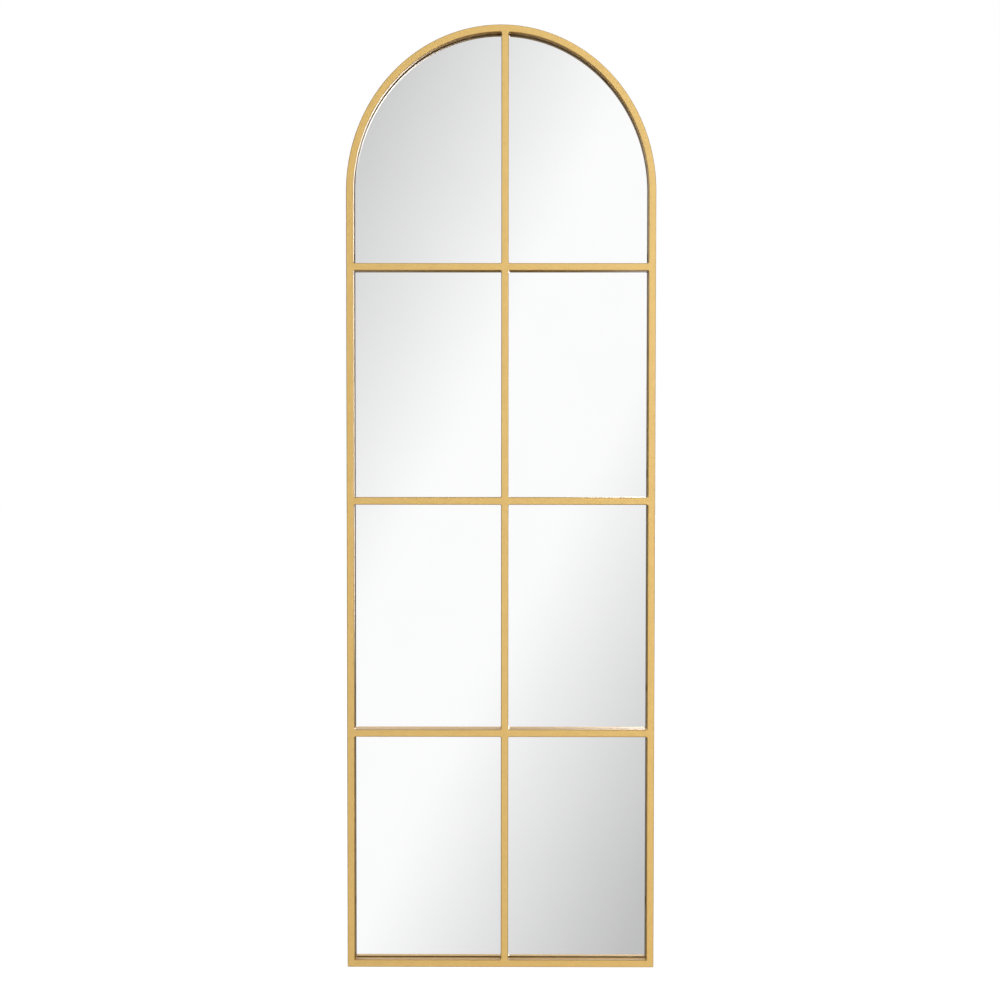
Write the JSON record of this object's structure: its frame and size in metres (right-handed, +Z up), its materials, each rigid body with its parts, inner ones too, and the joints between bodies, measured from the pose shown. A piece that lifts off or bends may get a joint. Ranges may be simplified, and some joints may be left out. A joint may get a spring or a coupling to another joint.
{
  "type": "leaning floor mirror",
  "caption": "Tall arched floor mirror in a slim welded tube frame, with a flush window-pane lattice of thin bars over one mirror glass, for leaning against a wall or hanging on it.",
  "frame": {"origin": "on the floor, under the middle of the whole mirror, bumpers included", "axes": "+Z up, +X to the right as seen from the front, and +Y towards the wall: the front faces -Y"},
  "size_m": [0.532, 0.0362, 1.626],
  "materials": {
    "frame_finish": "satin gold paint, slightly mottled",
    "mirror_glass": "back-silvered float glass",
    "backing_board": "plain brown hardboard",
    "hardware": "bright zinc plated",
    "bumper_rubber": "matt black rubber"
  },
  "bodies": {
    "mirror": {"arch_tube": "frame_finish", "left_stile": "frame_finish", "right_stile": "frame_finish", "bottom_rail": "frame_finish", "centre_muntin": "frame_finish", "lower_left_bar": "frame_finish", "lower_right_bar": "frame_finish", "middle_left_bar": "frame_finish", "middle_right_bar": "frame_finish", "upper_left_bar": "frame_finish", "upper_right_bar": "frame_finish", "mirror_glass": "mirror_glass", "backing_board": "backing_board", "left_clip_1": "hardware", "left_clip_2": "hardware", "left_clip_3": "hardware", "left_clip_4": "hardware", "right_clip_1": "hardware", "right_clip_2": "hardware", "right_clip_3": "hardware", "right_clip_4": "hardware", "rail_clip_1": "hardware", "rail_clip_2": "hardware", "arch_clip_1": "hardware", "arch_clip_2": "hardware", "arch_clip_3": "hardware", "left_clip_1_screw": "hardware", "left_clip_2_screw": "hardware", "left_clip_3_screw": "hardware", "left_clip_4_screw": "hardware", "right_clip_1_screw": "hardware", "right_clip_2_screw": "hardware", "right_clip_3_screw": "hardware", "right_clip_4_screw": "hardware", "rail_clip_1_screw": "hardware", "rail_clip_2_screw": "hardware", "arch_clip_1_screw": "hardware", "arch_clip_2_screw": "hardware", "arch_clip_3_screw": "hardware", "left_hanger_strap": "hardware", "right_hanger_strap": "hardware", "left_hanger_screw_1": "hardware", "left_hanger_screw_2": "hardware", "right_hanger_screw_1": "hardware", "right_hanger_screw_2": "hardware", "lower_left_bumper": "bumper_rubber", "lower_right_bumper": "bumper_rubber", "upper_left_bumper": "bumper_rubber", "upper_right_bumper": "bumper_rubber"},
    "left_ring": {"left_d_ring": "hardware"},
    "right_ring": {"right_d_ring": "hardware"}
  },
  "joints": [
    {"name": "left_ring_swing", "type": "hinge", "parent": "mirror", "child": "left_ring", "pos_m": [-0.25965, 0.0141, 1.153], "axis": [1, 0, 0], "range_deg": [0, 180]},
    {"name": "right_ring_swing", "type": "hinge", "parent": "mirror", "child": "right_ring", "pos_m": [0.25965, 0.0141, 1.153], "axis": [1, 0, 0], "range_deg": [0, 180]}
  ]
}
